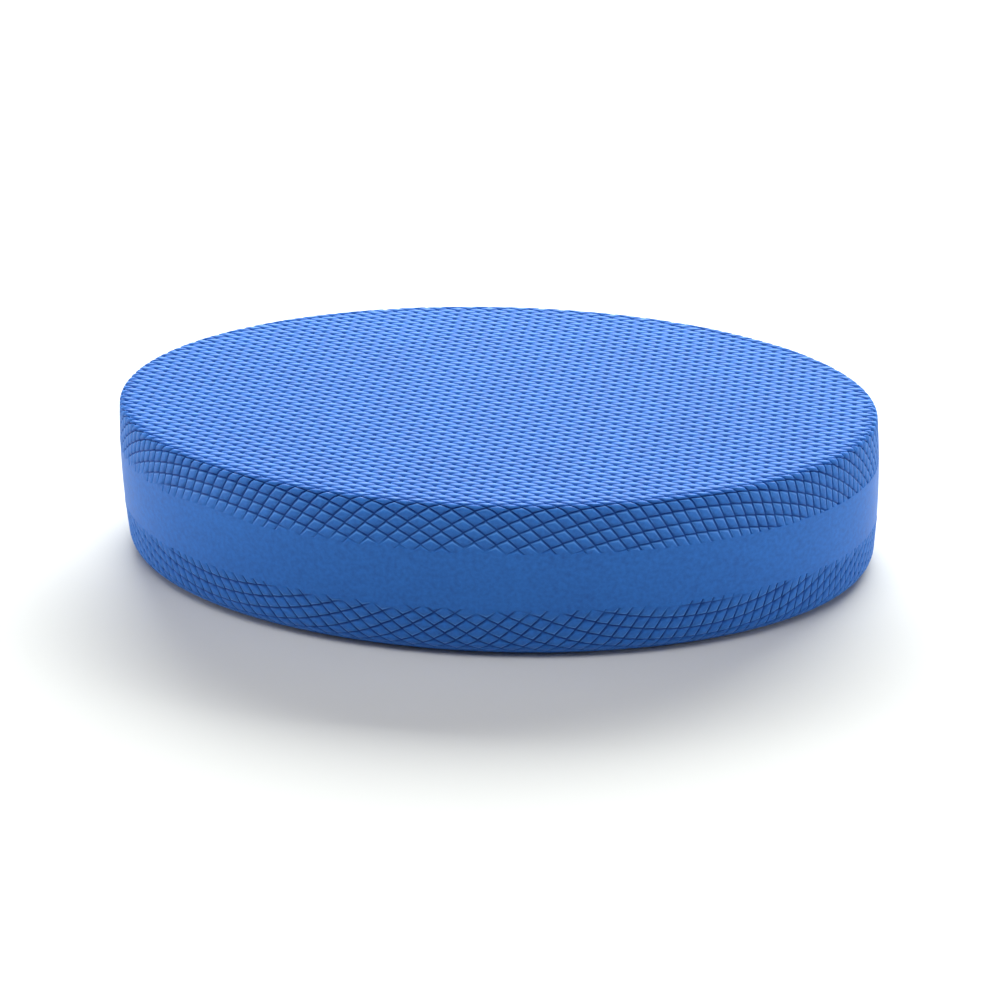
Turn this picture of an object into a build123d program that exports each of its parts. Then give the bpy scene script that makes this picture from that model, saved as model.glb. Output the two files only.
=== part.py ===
"""An oval balance pad: one thick block of closed-cell foam rubber, moulded between two halves of a tool.

The moulding comes out with a dense skin all round a cellular core. The skin is embossed over the top
and the bottom and a little way up and down the wall, and is plain in a band round the middle, so it
has three zones. They are modelled as three pieces that meet face to face round the core.

Millimetres. The origin is under the middle of the pad, on the floor: +X along the oval, +Z up.
"""

import os

from build123d import *

# The whole pad
LENGTH = 280.0
WIDTH = 170.0
HEIGHT = 60.0
WALL_BULGE = 1.35  # how far the wall stands out at half height, beyond its top and bottom edges
TOP_EDGE = 2.0  # radius of the rim round the standing face
BOTTOM_EDGE = 7.5  # radius of the softer rim that the pad stands in
LEAST_EDGE = 0.5  # the sharpest edge that the foam is left with

# The skin
SKIN = 1.5  # thickness of the dense layer
TOP_SKIRT = 18.0  # how far the embossed top comes down the wall
BOTTOM_SKIRT = 20.0  # how far the embossed bottom comes up the wall

TOP_BORDER = Plane.XY.offset(HEIGHT - TOP_SKIRT)
BOTTOM_BORDER = Plane.XY.offset(BOTTOM_SKIRT)


def moulding(inset):
    """The oval block, made smaller by inset on every side: a bulged wall between two rounded rims."""
    with BuildPart() as block:
        for height, bulge in ((inset, 0), (HEIGHT / 2, WALL_BULGE), (HEIGHT - inset, 0)):
            with BuildSketch(Plane.XY.offset(height)):
                Ellipse(
                    LENGTH / 2 - WALL_BULGE + bulge - inset,
                    WIDTH / 2 - WALL_BULGE + bulge - inset,
                )
        loft()
        fillet(block.edges().sort_by(Axis.Z)[-1], max(TOP_EDGE - inset, LEAST_EDGE))
        fillet(block.edges().sort_by(Axis.Z)[0], max(BOTTOM_EDGE - inset, LEAST_EDGE))
    return block.part


# The cellular inside of the moulding, which carries the load and gives under a foot
with BuildPart() as foam_core:
    add(moulding(SKIN))
foam_core.part.label = "foam_core"

# The embossed skin of the standing face, which turns down over the rim to its border on the wall
with BuildPart() as top_skin:
    add(moulding(0))
    split(bisect_by=TOP_BORDER, keep=Keep.TOP)
    add(foam_core.part, mode=Mode.SUBTRACT)
top_skin.part.label = "top_skin"

# The plain skin round the middle of the wall, between the two borders
with BuildPart() as side_band:
    add(moulding(0))
    split(bisect_by=TOP_BORDER, keep=Keep.BOTTOM)
    split(bisect_by=BOTTOM_BORDER, keep=Keep.TOP)
    add(foam_core.part, mode=Mode.SUBTRACT)
side_band.part.label = "side_band"

# The embossed skin of the underside, which grips the floor and turns up to its border on the wall
with BuildPart() as bottom_skin:
    add(moulding(0))
    split(bisect_by=BOTTOM_BORDER, keep=Keep.BOTTOM)
    add(foam_core.part, mode=Mode.SUBTRACT)
bottom_skin.part.label = "bottom_skin"

os.makedirs("parts", exist_ok=True)
for piece in (foam_core, top_skin, side_band, bottom_skin):
    export_step(piece.part, f"parts/{piece.part.label}.step")
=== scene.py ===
"""An oval balance pad: one thick block of closed-cell foam rubber, embossed above and below.

The sections follow the way the pad is made: the foam inside, the plain skin round the wall, the
embossed skins that the two halves of the mould press, and last the studio that it stands in.
Lengths are in metres.
"""

import math

import bmesh
import bpy
import numpy as np
from mathutils import Matrix, Vector


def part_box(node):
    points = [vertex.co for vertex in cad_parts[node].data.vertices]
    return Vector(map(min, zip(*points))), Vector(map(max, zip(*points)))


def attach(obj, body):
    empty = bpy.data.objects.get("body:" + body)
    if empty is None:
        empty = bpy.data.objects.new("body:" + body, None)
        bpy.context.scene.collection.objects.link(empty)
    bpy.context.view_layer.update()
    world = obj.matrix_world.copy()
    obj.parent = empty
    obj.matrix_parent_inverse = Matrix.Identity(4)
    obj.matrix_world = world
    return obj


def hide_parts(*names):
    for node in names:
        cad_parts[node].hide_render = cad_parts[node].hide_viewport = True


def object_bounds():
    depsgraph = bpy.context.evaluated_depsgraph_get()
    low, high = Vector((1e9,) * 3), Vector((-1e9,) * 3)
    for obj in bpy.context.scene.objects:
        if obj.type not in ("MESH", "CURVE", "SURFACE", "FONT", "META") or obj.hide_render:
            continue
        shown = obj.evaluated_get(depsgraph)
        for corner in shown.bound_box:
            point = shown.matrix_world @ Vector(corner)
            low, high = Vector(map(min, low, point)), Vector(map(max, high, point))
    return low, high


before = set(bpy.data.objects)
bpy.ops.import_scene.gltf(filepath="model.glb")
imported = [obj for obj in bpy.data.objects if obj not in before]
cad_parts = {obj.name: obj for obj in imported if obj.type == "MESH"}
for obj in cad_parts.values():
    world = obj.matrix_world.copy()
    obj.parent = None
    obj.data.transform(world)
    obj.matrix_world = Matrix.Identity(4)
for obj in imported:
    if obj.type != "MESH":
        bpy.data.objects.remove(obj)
cad_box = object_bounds()

# ---- Foam core -----------------------------------------------------------------------------------
# The inside of the block: cross-linked rubber foam with closed cells about half a millimetre across.
# It fills the skin completely, so its shape is the pad's own shape, one skin's thickness smaller.
# The mould leaves it a wall that swells a little at half height, between two rounded rims.

MM = 0.001
HALF_LENGTH, HALF_WIDTH, HEIGHT = cad_box[1]
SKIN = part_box("foam_core")[0][2]
SWELL = 1.35 * MM
TOP_RIM = 2.0 * MM
BOTTOM_RIM = 7.5 * MM
AROUND = 480  # sides of every ring round the pad
WALL_RINGS = 7
BOTTOM_STEPS, TOP_STEPS = 6, 4  # steps in the quarter turn of each rim
CORE_BLUE = (0.10, 0.27, 0.66)
CORE_DARK, CORE_PALE = 0.55, 1.1  # painted shade in the bottoms of its cells, and paler cell walls, against CORE_BLUE
CELLS, HOLES, CORE_CLOUDS = 0.7 * MM, 3.5 * MM, 30 * MM
CELL_SIDE = (0.15, 0.6)  # where a cell's side starts and ends, outwards from its middle
HOLE_SIDE = (0.10, 0.22)
CELL_SHARE = 0.8  # how much the cells show beside the clouds
CELL_DEPTH = 0.25 * MM


def reach(z):
    """How far the wall stands out at height z, from its furthest at half height."""
    return -SWELL * (2 * z / HEIGHT - 1) ** 2


def outline(bm, out, z):
    """An oval ring of edges round the pad at height z, moved out from its widest outline."""
    size = Matrix.Diagonal((HALF_LENGTH + out, HALF_WIDTH + out, 1, 1))
    place = Matrix.Translation((0, 0, z)) @ size
    made = bmesh.ops.create_circle(bm, segments=AROUND, radius=1, matrix=place)
    return list(dict.fromkeys(edge for vert in made["verts"] for edge in vert.link_edges))


def rim(radius, steps, inset):
    """A quarter turn from a flat face round to the wall, as pairs of out and depth under the face."""
    radius = radius - inset
    turn = [math.pi / 2 * step / steps for step in range(steps + 1)]
    return [(radius * (math.sin(a) - 1) - inset, radius * (1 - math.cos(a)) + inset) for a in turn]


def piece(name, bm, material, node):
    """Finishes a mesh as a shown piece that stands for one CAD node."""
    mesh = bpy.data.meshes.new(name)
    bm.to_mesh(mesh)
    bm.free()
    made = bpy.data.objects.new(name, mesh)
    bpy.context.scene.collection.objects.link(made)
    mesh.materials.append(material)
    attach(made, "root")
    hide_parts(node)
    return made


class Shade:
    """One value in a material. Python's arithmetic on it adds the Math nodes that work it out."""

    def __init__(self, tree, socket=None):
        self.tree = tree
        self.socket = socket

    def add(self, kind, settings=None, sockets=None, output=0):
        """A new node: its settings are set first, then a value or another Shade for each socket."""
        node = self.tree.nodes.new("ShaderNode" + kind)
        for name, value in (settings or {}).items():
            setattr(node, name, value)
        for name, value in (sockets or {}).items():
            if isinstance(value, Shade):
                self.tree.links.new(value.socket, node.inputs[name])
            else:
                node.inputs[name].default_value = value
        return Shade(self.tree, node.outputs[output])

    def math(self, operation, *values):
        return self.add("Math", {"operation": operation}, dict(enumerate(values)))

    def __add__(self, other):
        return self.math("ADD", self, other)

    def __sub__(self, other):
        return self.math("SUBTRACT", self, other)

    def __rsub__(self, other):
        return self.math("SUBTRACT", other, self)

    def __mul__(self, other):
        return self.math("MULTIPLY", self, other)

    __radd__ = __add__
    __rmul__ = __mul__

    def between(self, low, high):
        """0 where this is under low, 1 where it is over high, and a smooth step between them."""
        sockets = {"Value": self, "From Min": low, "From Max": high}
        return self.add("MapRange", {"interpolation_type": "SMOOTHSTEP"}, sockets)

    def tint(self, first, second):
        """The colour first where this is 0 and second where it is 1."""
        sockets = {"Factor": self, 6: first, 7: second}
        return self.add("Mix", {"data_type": "RGBA"}, sockets, output=2)


def rgba(colour, light=1.0):
    return (*(channel * light for channel in colour), 1.0)


def noise(shade, place, size, detail=2.0, rough=0.5):
    """Cloudy noise from 0 to 1, whose blots are about size across."""
    sockets = {"Vector": place, "Scale": 1 / size, "Detail": detail, "Roughness": rough}
    return shade.add("TexNoise", {"noise_dimensions": "3D"}, sockets)


def foam_inside(name):
    """Cut foam round closed cells, a few large among the small: cell bottoms painted darker as shade,
    walls paler.
    """
    material = bpy.data.materials.new(name)
    material.use_nodes = True
    surface = material.node_tree.nodes["Principled BSDF"]
    shade = Shade(material.node_tree)
    place = shade.add("TexCoord", output=3)
    cells = shade.add("TexVoronoi", {"feature": "F1"}, {"Vector": place, "Scale": 1 / CELLS})
    holes = shade.add("TexVoronoi", {"feature": "F1"}, {"Vector": place, "Scale": 1 / HOLES})
    depth = cells.between(*CELL_SIDE) * holes.between(*HOLE_SIDE)
    cloud = noise(shade, place, CORE_CLOUDS)
    light = depth * CELL_SHARE + cloud * (1 - CELL_SHARE)
    # painted shade: the cells' hollows are coloured darker and their walls paler
    colour = light.tint(rgba(CORE_BLUE, CORE_DARK), rgba(CORE_BLUE, CORE_PALE))
    bump = shade.add("Bump", None, {"Height": depth, "Distance": CELL_DEPTH, "Strength": 0.8})
    surface.inputs["Roughness"].default_value = 0.85
    material.node_tree.links.new(colour.socket, surface.inputs["Base Color"])
    material.node_tree.links.new(bump.socket, surface.inputs["Normal"])
    return material


bm = bmesh.new()
rings = [(out + reach(BOTTOM_RIM), z) for out, z in rim(BOTTOM_RIM, BOTTOM_STEPS, SKIN)]
wall = np.linspace(BOTTOM_RIM, HEIGHT - TOP_RIM, WALL_RINGS + 2)[1:-1]
rings += [(reach(z) - SKIN, z) for z in wall]
turn = reversed(rim(TOP_RIM, TOP_STEPS, SKIN))
rings += [(out + reach(HEIGHT - TOP_RIM), HEIGHT - depth) for out, depth in turn]
loops = [outline(bm, out, z) for out, z in rings]
for under, over in zip(loops, loops[1:]):
    bmesh.ops.bridge_loops(bm, edges=under + over)
for end in (loops[0], loops[-1]):
    bmesh.ops.edgeloop_fill(bm, edges=end)
bmesh.ops.recalc_face_normals(bm, faces=bm.faces)
for face in bm.faces:
    face.smooth = len(face.verts) == 4
core = piece("foam_core_block", bm, foam_inside("cut foam"), "foam_core")

# ---- Side band -----------------------------------------------------------------------------------
# The plain skin round the middle of the wall. The two halves of the mould have no pattern here, so the
# foam freezes against smooth metal: matt, very slightly uneven, and clouded where it cooled unevenly.

BLUE = (0.020, 0.152, 0.515)
# painted shade: the darkest blue, at the bottom of the embossed grooves
GROOVE_SHADE_BLUE = (0.001, 0.045, 0.28)
# painted highlight: the pale blue on each pillow's edge nearest the face
HIGHLIGHT_BLUE = (0.10, 0.34, 0.85)
PALEST = 1.37  # the palest speck against BLUE
CLOUDS, SPECKS, PORES = 28 * MM, 1.6 * MM, 0.35 * MM
CLOUD_SHARE = 0.3  # how much the clouds show beside the specks
SPECK_RISE = 0.5  # how much the specks stand up beside the pores
ROUGHNESS, SPECK_ROUGHNESS, GROOVE_ROUGHNESS = 0.50, 0.12, 0.15
DARK_UNDER, PALE_OVER = 0.25, 2.45  # where clouds, specks and the painted groove shade together are darkest and palest
GRAIN_DEPTH = 0.03 * MM
BAND_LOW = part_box("side_band")[0][2]
BAND_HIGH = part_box("side_band")[1][2]
BAND_RINGS = 13
CUT_ANGLE = math.radians(60)  # edges sharper than this stay crisp
WELD = 0.001 * MM  # points closer than this are made one


def foam_skin(name):
    """Moulded foam skin: matt blue with faint clouds and specks, and a fine pore grain in its surface.

    The mesh may carry two attributes. groove is 1 at the bottom of an embossed groove, where the blue
    is painted darker as shade in the groove and the surface is rougher. The other is 1 on the edge of
    each pillow nearest the face, which is painted paler as a highlight.
    """
    material = bpy.data.materials.new(name)
    material.use_nodes = True
    surface = material.node_tree.nodes["Principled BSDF"]
    shade = Shade(material.node_tree)
    place = shade.add("TexCoord", output=3)
    groove = shade.add("Attribute", {"attribute_name": "groove"}, output=2)
    painted_highlight = shade.add("Attribute", {"attribute_name": "painted_highlight"}, output=2)
    clouds = noise(shade, place, CLOUDS, 3.0)
    specks = noise(shade, place, SPECKS, 2.0)
    pores = noise(shade, place, PORES, 1.0)
    # painted shade: the blue darkens towards the bottom of each groove
    light = clouds * CLOUD_SHARE + specks + (1 - groove)
    colour = light.between(DARK_UNDER, PALE_OVER).tint(rgba(GROOVE_SHADE_BLUE), rgba(BLUE, PALEST))
    # painted highlight: each pillow's edge nearest the face is coloured paler blue
    colour = painted_highlight.tint(colour, rgba(HIGHLIGHT_BLUE))
    surface.inputs["Specular IOR Level"].default_value = 0.35
    surface.inputs["Sheen Weight"].default_value = 0.08
    surface.inputs["Sheen Roughness"].default_value = 0.35
    roughness = ROUGHNESS + specks * SPECK_ROUGHNESS + groove * GROOVE_ROUGHNESS
    height = pores + specks * SPECK_RISE
    bump = shade.add("Bump", None, {"Height": height, "Distance": GRAIN_DEPTH, "Strength": 0.6})
    material.node_tree.links.new(colour.socket, surface.inputs["Base Color"])
    material.node_tree.links.new(roughness.socket, surface.inputs["Roughness"])
    material.node_tree.links.new(bump.socket, surface.inputs["Normal"])
    return material


def drawn_on(bm, ring, was, out, z):
    """Carries an oval ring of edges on as a new strip of wall, to its next place out and height z."""
    new = bmesh.ops.extrude_edge_only(bm, edges=ring)["geom"]
    verts = [item for item in new if isinstance(item, bmesh.types.BMVert)]
    size = ((HALF_LENGTH + out) / (HALF_LENGTH + was), (HALF_WIDTH + out) / (HALF_WIDTH + was), 1)
    bmesh.ops.scale(bm, vec=size, verts=verts)
    for vert in verts:
        vert.co.z = z
    return [item for item in new if isinstance(item, bmesh.types.BMEdge)]


bm = bmesh.new()
heights = np.linspace(BAND_LOW, BAND_HIGH, BAND_RINGS)
section = [(reach(z), z) for z in heights]
section += [(reach(z) - SKIN, z) for z in reversed(heights)]
ring = outline(bm, *section[0])
for (was, _), (out, z) in zip(section, section[1:] + section[:1]):
    ring = drawn_on(bm, ring, was, out, z)
bmesh.ops.remove_doubles(bm, verts=bm.verts, dist=WELD)
bmesh.ops.recalc_face_normals(bm, faces=bm.faces)
for face in bm.faces:
    face.smooth = True
for edge in bm.edges:
    edge.smooth = edge.calc_face_angle() < CUT_ANGLE
band = piece("side_band_skin", bm, foam_skin("plain foam skin"), "side_band")

# ---- Embossed skins ------------------------------------------------------------------------------
# The dense skin of the standing face and of the underside. Each half of the mould presses a net of
# fine ribs into the hot foam, which leaves grooves round staggered diamonds. The net is laid flat over
# the face and pulled down round the rim, so the diamonds stretch over the wall and stop at a border.

DIAMOND_LONG = 8.0 * MM
DIAMOND_SHORT = 3.74 * MM
ROW_TILT = math.radians(-2.2)
ROW_RISE = DIAMOND_LONG / 2 * math.tan(ROW_TILT)
NET_SHIFT = (2.06 * MM, -0.99 * MM)
NET_CELLS = 96
# from a grid of unit squares to the net of diamonds, laid flat over the face
NET = Matrix(
    (
        (DIAMOND_LONG / 2, -DIAMOND_LONG / 2, 0, NET_SHIFT[0]),
        (DIAMOND_SHORT / 2 + ROW_RISE, DIAMOND_SHORT / 2 - ROW_RISE, 0, NET_SHIFT[1]),
        (0, 0, 1, 0),
        (0, 0, 0, 1),
    )
)
# from the groove's bottom to the middle of a pillow: how far in each step goes, and how far up
PILLOW = (
    (0.30 * MM, 0.52 * MM),
    (0.32 * MM, 0.40 * MM),
    (0.34 * MM, 0.24 * MM),
    (0.40 * MM, 0.09 * MM),
)
GROOVE_DEPTH = sum(rise for _, rise in PILLOW)
WALL_DEPTH = 0.65  # depth of the wall's grooves against the face's: the mould opens along them there
# how much deeper the grooves are near a rim, or shallower where it is under 0, how far down the wall
# that change is greatest, and how far it spreads
UNDER_RIM = (0.30, TOP_RIM, 2.2 * MM)
ROUND_FOOT = (-0.6, 0, 6.0 * MM)
FACE_GROOVE_SHADE, WALL_GROOVE_SHADE = 0.8, 1.1  # under 1 the painted groove shade comes further up a groove's sides
RIM_REACH = 4.5 * MM  # how far each side of the rim the net is made finer
PULL_ENDS = 1.13  # net used for each length of wall, at the ends of the oval
PULL_SIDES = 0.66  # and at the middle of its long sides
ON_FACE = -1.0  # a length down the wall that means inside the rim, on the flat face
BORDER_IN = 0.9 * MM  # how far inside the skin's cut edge the grooves have all died out
BORDER_TILT = 0.012  # how much further they come down at one end of the oval, for each length along it
FADE = 1.1 * MM  # over how much of the wall they die out
RAGGED = 0.22 * MM  # how far the border strays up and down
RAGGED_LENGTHS = (5.1 * MM, 2.3 * MM, 3.7 * MM)
LIP = 0.12 * MM  # the soft ridge of foam that is squeezed up beside the pattern
LIP_WIDTH = 1.1 * MM
LIP_CLEAR = 0.2 * MM  # how far it stays from the cut edge, which meets the plain band
NO_LENGTH = 0.01 * MM  # keeps a direction from being divided by nothing at a pillow's middle
HIGHLIGHT_LEVEL = 0.26  # how far down into the groove a pillow's painted highlight lies
HIGHLIGHT_SPREAD = 0.15
HIGHLIGHT_SIDE = 0.4  # painted highlight on a pillow's side corners, against the corner nearest the face
INNER_WALL_RINGS, INNER_RIM_STEPS = 4, 6


def flat_net(skirt, rim_out):
    """The embossed sheet before it is folded: a flat net of diamonds that covers the face and skirt."""
    bm = bmesh.new()
    bmesh.ops.create_grid(bm, x_segments=NET_CELLS, y_segments=NET_CELLS, size=NET_CELLS / 2)
    bmesh.ops.transform(bm, matrix=NET, verts=bm.verts)
    half_length, half_width = HALF_LENGTH + rim_out, HALF_WIDTH + rim_out
    long_end = half_length + PULL_ENDS * skirt + DIAMOND_LONG
    wide_end = half_width + PULL_SIDES * skirt + DIAMOND_SHORT
    outside = []
    for face in bm.faces:
        middle = face.calc_center_median()
        if math.hypot(middle.x / long_end, middle.y / wide_end) > 1:
            outside.append(face)
    bmesh.ops.delete(bm, geom=outside, context="FACES")
    for vert in bm.verts:
        vert.co.z = -GROOVE_DEPTH
    pillows = bm.faces[:]
    for step, rise in PILLOW:
        bmesh.ops.inset_individual(bm, faces=pillows, thickness=step, depth=rise)
    near_rim = []
    for edge in bm.edges:
        middle = (edge.verts[0].co + edge.verts[1].co) / 2
        oval = math.hypot(middle.x / half_length, middle.y / half_width)
        steep = math.hypot(middle.x / half_length**2, middle.y / half_width**2)
        if abs(oval - 1) < RIM_REACH * steep / oval:
            near_rim.append(edge)
    bmesh.ops.subdivide_edges(bm, edges=near_rim, cuts=1, use_grid_fill=True)
    bmesh.ops.recalc_face_normals(bm, faces=bm.faces)
    return bm


def past_rim(x, y, half_length, half_width):
    """For points of the flat net past the rim: the angle round the oval and the length down the wall.

    The point leaves the rim square to it, but the net is pulled more at the ends than at the sides. The
    angle where both directions agree on one length is found by halving the quarter turn that holds it.
    """
    x, y = np.abs(x), np.abs(y)
    least, halvings = 1e-6, 40
    low, high = np.full(len(x), least), np.full(len(x), math.pi / 2 - least)
    for _ in range(halvings):
        turn = (low + high) / 2
        wide = np.hypot(half_width * np.cos(turn), half_length * np.sin(turn))
        by_x = (x / np.cos(turn) - half_length) * wide / half_width
        by_y = (y / np.sin(turn) - half_width) * wide / half_length
        pull_x = np.where(by_x > 0, PULL_ENDS, 1.0)
        pull_y = np.where(by_y > 0, PULL_SIDES, 1.0)
        ahead = by_x / pull_x > by_y / pull_y
        high = np.where(ahead, turn, high)
        low = np.where(ahead, low, turn)
    down = np.where(turn < math.pi / 4, by_x / pull_x, by_y / pull_y)
    return turn, down


def towards_face(x, y, facing_x, facing_y):
    """1 at the corner of its pillow nearest the face, 0 at the furthest, for points of the flat net."""
    cells = np.array(NET.inverted())[:2] @ (x, y, 0 * x, 0 * x + 1)
    from_x, from_y = np.array(NET)[:2, :2] @ (cells - np.floor(cells) - 0.5)
    away = (from_x * facing_x + from_y * facing_y) / np.maximum(np.hypot(from_x, from_y), NO_LENGTH)
    return np.clip(HIGHLIGHT_SIDE - (1 - HIGHLIGHT_SIDE) * away, 0, 1)


def border(on_x, on_y, height, skirt, tilt):
    """How much of the pattern is left, 1 to 0 at its ragged border, and the lip of foam beside it."""
    along_1, along_2, along_3 = RAGGED_LENGTHS
    stray = np.sin(on_x / along_1) + np.sin(on_x / along_2 + 1) + np.sin(on_y / along_3)
    past = height - (HEIGHT - skirt + BORDER_IN + RAGGED * stray - tilt * on_x)
    left = np.clip(past / FADE, 0, 1)
    left = left * left * (3 - 2 * left)
    lip = LIP * np.exp(-((past / LIP_WIDTH) ** 2)) * (height - HEIGHT + skirt > LIP_CLEAR)
    return left, lip


def fold(points, rim_radius, skirt, tilt, near_rim):
    """Lays the flat net over the block: flat on the face, round the rim and down the wall.

    Gives every point's place, how far down a groove it lies, which sets the painted shade there, and
    how much painted highlight it gets on its pillow's edge nearest the face.
    """
    rim_out = reach(HEIGHT - rim_radius)
    half_length, half_width = HALF_LENGTH + rim_out, HALF_WIDTH + rim_out
    x, y, relief = points.T
    inner = (x / (half_length - rim_radius)) ** 2 + (y / (half_width - rim_radius)) ** 2 < 1
    turn, down = past_rim(x, y, half_length, half_width)
    down = np.where(inner, ON_FACE, down)
    bend = np.clip((down + rim_radius) / (2 * rim_radius), 0, 1) * math.pi / 2
    drop = np.maximum(down, rim_radius)
    on_rim = down < rim_radius
    out = np.where(on_rim, rim_out + rim_radius * (np.sin(bend) - 1), reach(HEIGHT - drop))
    height = np.where(on_rim, HEIGHT - rim_radius * (1 - np.cos(bend)), HEIGHT - drop)
    wide = np.hypot(half_width * np.cos(turn), half_length * np.sin(turn))
    facing_x = HALF_WIDTH * np.cos(turn) / wide * np.sign(x)
    facing_y = HALF_LENGTH * np.sin(turn) / wide * np.sign(y)
    on_x = HALF_LENGTH * np.cos(turn) * np.sign(x) + out * facing_x
    on_y = HALF_WIDTH * np.sin(turn) * np.sign(y) + out * facing_y

    left, lip = border(on_x, on_y, height, skirt, tilt)
    change, middle, spread = near_rim
    deeper = 1 + change * np.exp(-(((down - middle) / spread) ** 2)) * (down > -rim_radius)
    on_wall = np.clip(down / rim_radius, 0, 1)
    lift = relief * left * deeper * (1 + (WALL_DEPTH - 1) * on_wall) + lip
    flat = down <= -rim_radius
    folded = np.column_stack(
        (
            np.where(flat, x, on_x + lift * np.sin(bend) * facing_x),
            np.where(flat, y, on_y + lift * np.sin(bend) * facing_y),
            np.where(flat, HEIGHT + relief, height + lift * np.cos(bend)),
        )
    )

    level = np.clip(-relief / GROOVE_DEPTH * left, 0, 1)
    # painted shade: how much darker a point is coloured, most at a groove's bottom
    groove = level ** (FACE_GROOVE_SHADE + (WALL_GROOVE_SHADE - FACE_GROOVE_SHADE) * on_wall)
    # painted highlight: a band just inside each pillow's edge, strongest at the corner nearest the face
    edge = np.exp(-(((level - HIGHLIGHT_LEVEL) / HIGHLIGHT_SPREAD) ** 2))
    painted_highlight = edge * left * np.clip(1 + down / rim_radius, 0, 1)
    painted_highlight = painted_highlight * towards_face(x, y, facing_x, facing_y)
    return folded, groove * np.minimum(deeper, 1), painted_highlight


def embossed(rim_radius, skirt, tilt, near_rim):
    """One embossed skin: the net folded over the block, cut at its border and closed round the core."""
    bm = flat_net(skirt, reach(HEIGHT - rim_radius))
    points = np.array([vert.co for vert in bm.verts])
    folded, *looks = fold(points, rim_radius, skirt, tilt, near_rim)
    for vert, place in zip(bm.verts, folded):
        vert.co = place
    for name, values in zip(("groove", "painted_highlight"), looks):
        layer = bm.verts.layers.float.new(name)
        for vert, value in zip(bm.verts, values):
            vert[layer] = value
    cut = HEIGHT - skirt
    bmesh.ops.bisect_plane(
        bm,
        geom=bm.verts[:] + bm.edges[:] + bm.faces[:],
        plane_co=(0, 0, cut),
        plane_no=(0, 0, -1),
        clear_outer=True,
    )
    ring = [edge for edge in bm.edges if edge.is_boundary]
    for edge in ring:
        edge.smooth = False
    for face in bm.faces:
        face.smooth = True
    rim_foot = HEIGHT - rim_radius
    inside = [(reach(z) - SKIN, z) for z in np.linspace(cut, rim_foot, INNER_WALL_RINGS)]
    turn = rim(rim_radius, INNER_RIM_STEPS, SKIN)[:-1]
    inside += [(out + reach(rim_foot), HEIGHT - depth) for out, depth in reversed(turn)]
    was = reach(cut)
    for out, z in inside:
        ring = drawn_on(bm, ring, was, out, z)
        was = out
        for edge in ring:
            edge.smooth = False
    bmesh.ops.edgeloop_fill(bm, edges=ring)
    bmesh.ops.recalc_face_normals(bm, faces=bm.faces)
    return bm


skin = foam_skin("embossed foam skin")
bm = embossed(TOP_RIM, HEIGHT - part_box("top_skin")[0][2], BORDER_TILT, UNDER_RIM)
top = piece("top_skin_embossed", bm, skin, "top_skin")

# the underside is the same skin turned over, with a level border
bm = embossed(BOTTOM_RIM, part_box("bottom_skin")[1][2], 0, ROUND_FOOT)
bmesh.ops.scale(bm, vec=(1, 1, -1), verts=bm.verts)
bmesh.ops.translate(bm, vec=(0, 0, HEIGHT), verts=bm.verts)
bmesh.ops.recalc_face_normals(bm, faces=bm.faces)
bottom = piece("bottom_skin_embossed", bm, skin, "bottom_skin")

# ---- Studio --------------------------------------------------------------------------------------
# A pale seamless floor in a pale room, lit by a broad soft panel above and behind the pad, a weaker
# one above its front and a small one at each side. The camera looks down on the long side at about
# 27 degrees, turned a little to the right.

AZIMUTH = math.radians(9.34)
ELEVATION = math.radians(27.03)
ROLL = math.radians(-1.5)
DISTANCE = 1.0995
LENS = 107.4
AIM_RIGHT, AIM_UP = 1.5 * MM, -10.2 * MM

back = Vector(
    (
        math.sin(AZIMUTH) * math.cos(ELEVATION),
        -math.cos(AZIMUTH) * math.cos(ELEVATION),
        math.sin(ELEVATION),
    )
)
sideways = Vector((math.cos(AZIMUTH), math.sin(AZIMUTH), 0))
upright = back.cross(sideways)
across = sideways * math.cos(ROLL) + upright * math.sin(ROLL)
above = upright * math.cos(ROLL) - sideways * math.sin(ROLL)
middle = Vector((0, 0, HEIGHT / 2))
stand = middle + back * DISTANCE
aim = middle + across * AIM_RIGHT + above * AIM_UP
look_back = (stand - aim).normalized()
across = above.cross(look_back).normalized()
above = look_back.cross(across)
camera = bpy.data.objects.new("camera", bpy.data.cameras.new("camera"))
camera.data.lens = LENS
camera.data.clip_start = 0.05
turned = Matrix((across, above, look_back)).transposed().to_4x4()
camera.matrix_world = Matrix.Translation(stand) @ turned
bpy.context.scene.collection.objects.link(camera)
bpy.context.scene.camera = camera


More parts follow.
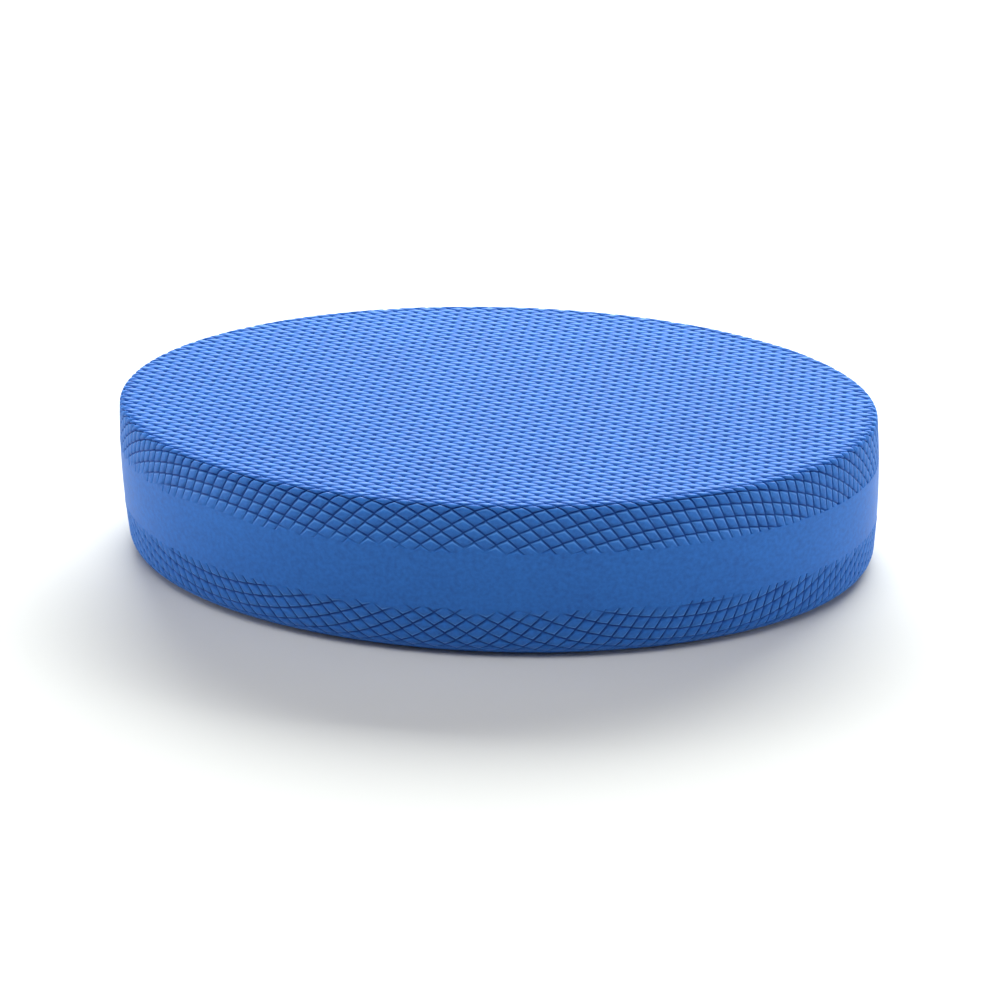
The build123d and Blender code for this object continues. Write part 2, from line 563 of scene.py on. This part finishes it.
def soft_light(name, place, size, power, colour=(1, 1, 1)):
    """A large soft panel at place, facing the pad."""
    lamp = bpy.data.lights.new(name, "AREA")
    lamp.shape = "RECTANGLE"
    lamp.size, lamp.size_y = size
    lamp.energy = power
    lamp.color = colour
    made = bpy.data.objects.new(name, lamp)
    made.visible_camera = False
    place = Vector(place)
    facing = (place - middle).to_track_quat("Z", "Y").to_matrix().to_4x4()
    made.matrix_world = Matrix.Translation(place) @ facing
    bpy.context.scene.collection.objects.link(made)


soft_light("back panel", (0.05, 0.9, 0.8), (1.5, 0.6), 39, (0.97, 1.0, 0.95))
soft_light("front panel", (0, -0.45, 1.25), (1.2, 0.5), 9)
soft_light("left panel", (-1.3, -0.1, 0.35), (0.8, 0.6), 7)
soft_light("right panel", (1.3, -0.1, 0.35), (0.8, 0.6), 5)

# The room is bright behind the pad and dark in front, so the front wall is lit from the floor.
ROOM_FRONT, ROOM_BACK = 0.05, 0.20
ROOM_TURN = (-0.7, 0.4)  # where it turns from dark to bright, from -1 in front to 1 behind
ROOM_TINT = (0.92, 0.96, 1.0)
PAPER_WHITE = (0.64, 0.64, 0.64)
FLOOR_SIZE, FLOOR_GAP = 6, 0.1 * MM  # half the floor's side, and how far it lies under the pad
world = bpy.data.worlds.new("studio")
world.use_nodes = True
sky = Shade(world.node_tree)
direction = sky.add("TexCoord", output=0)
heading = sky.add("SeparateXYZ", None, {"Vector": direction}, output=1)
glow = heading.between(*ROOM_TURN) * (ROOM_BACK - ROOM_FRONT) + ROOM_FRONT
room = world.node_tree.nodes["Background"]
room.inputs["Color"].default_value = rgba(ROOM_TINT)
world.node_tree.links.new(glow.socket, room.inputs["Strength"])
bpy.context.scene.world = world
bpy.context.scene.view_settings.view_transform = "Standard"

bm = bmesh.new()
bmesh.ops.create_grid(bm, x_segments=1, y_segments=1, size=FLOOR_SIZE)
bmesh.ops.translate(bm, vec=(0, 0, -FLOOR_GAP), verts=bm.verts)
mesh = bpy.data.meshes.new("floor")
bm.to_mesh(mesh)
bm.free()
floor = bpy.data.objects.new("floor", mesh)
paper = bpy.data.materials.new("white paper")
paper.use_nodes = True
surface = paper.node_tree.nodes["Principled BSDF"]
surface.inputs["Base Color"].default_value = rgba(PAPER_WHITE)
surface.inputs["Roughness"].default_value = 0.9
surface.inputs["Specular IOR Level"].default_value = 0.1
mesh.materials.append(paper)
bpy.context.scene.collection.objects.link(floor)
